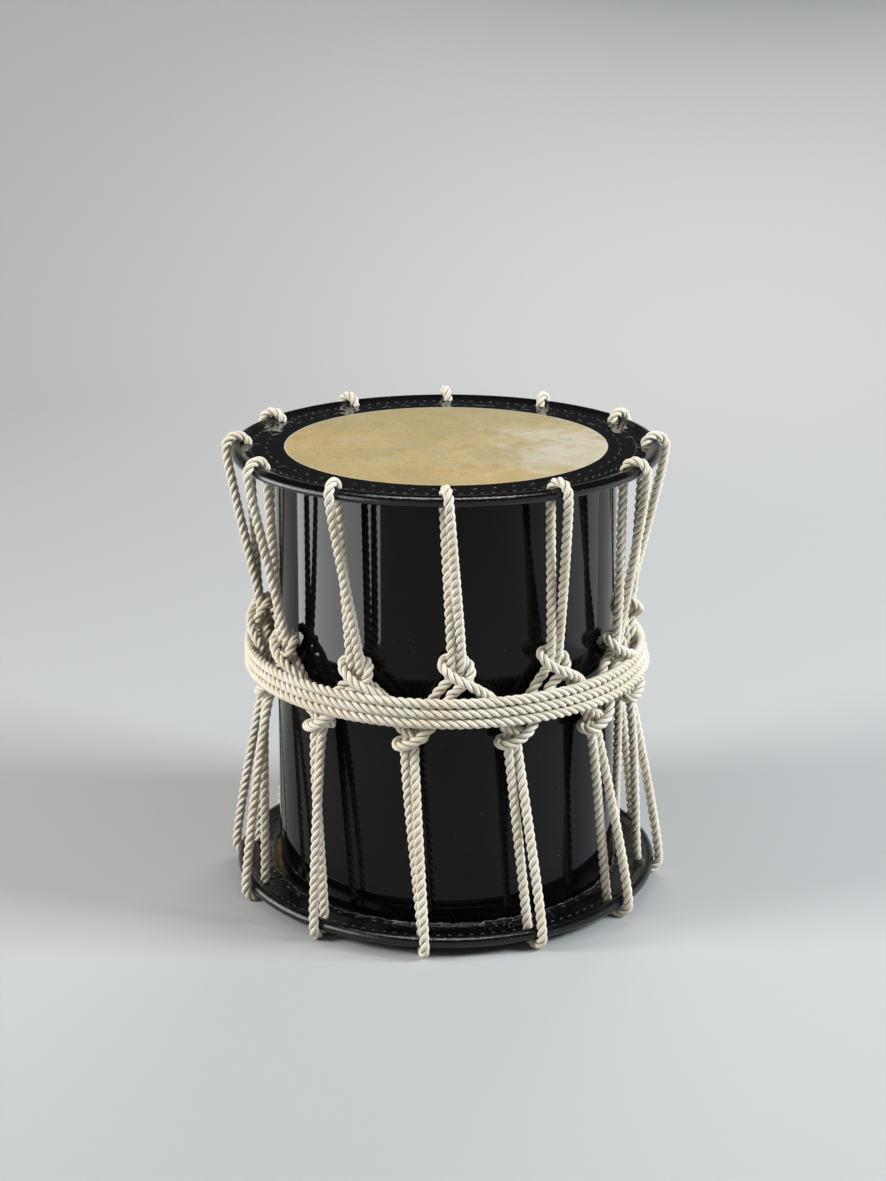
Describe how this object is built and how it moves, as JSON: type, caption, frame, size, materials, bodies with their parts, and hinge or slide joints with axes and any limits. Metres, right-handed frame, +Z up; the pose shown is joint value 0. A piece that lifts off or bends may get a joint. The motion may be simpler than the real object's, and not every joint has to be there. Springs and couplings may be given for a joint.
{
  "type": "okedo taiko drum",
  "caption": "Rope-tensioned barrel drum standing on end: a black lacquered stave body between two rawhide heads on iron rings, laced with thick cotton rope and drawn in at the waist.",
  "frame": {"origin": "on the floor under the middle of the drum", "axes": "+Z up along the drum's axis, -Y towards the front of the pictured view"},
  "size_m": [0.4768, 0.4768, 0.4908],
  "materials": {
    "lacquered_wood": "black high-gloss lacquer",
    "rawhide": "natural tan rawhide, black gloss paint round the rim",
    "ring_iron": "bare forged rod",
    "cotton_rope": "three-strand laid cotton, matt"
  },
  "bodies": {
    "root": {"stave_01": "lacquered_wood", "stave_02": "lacquered_wood", "stave_03": "lacquered_wood", "stave_04": "lacquered_wood", "stave_05": "lacquered_wood", "stave_06": "lacquered_wood", "stave_07": "lacquered_wood", "stave_08": "lacquered_wood", "stave_09": "lacquered_wood", "stave_10": "lacquered_wood", "stave_11": "lacquered_wood", "stave_12": "lacquered_wood", "stave_13": "lacquered_wood", "stave_14": "lacquered_wood", "stave_15": "lacquered_wood", "stave_16": "lacquered_wood", "top_head": "rawhide", "bottom_head": "rawhide", "top_ring": "ring_iron", "bottom_ring": "ring_iron", "lacing_rope": "cotton_rope", "hitch_rope": "cotton_rope", "waist_rope": "cotton_rope"}
  },
  "joints": []
}
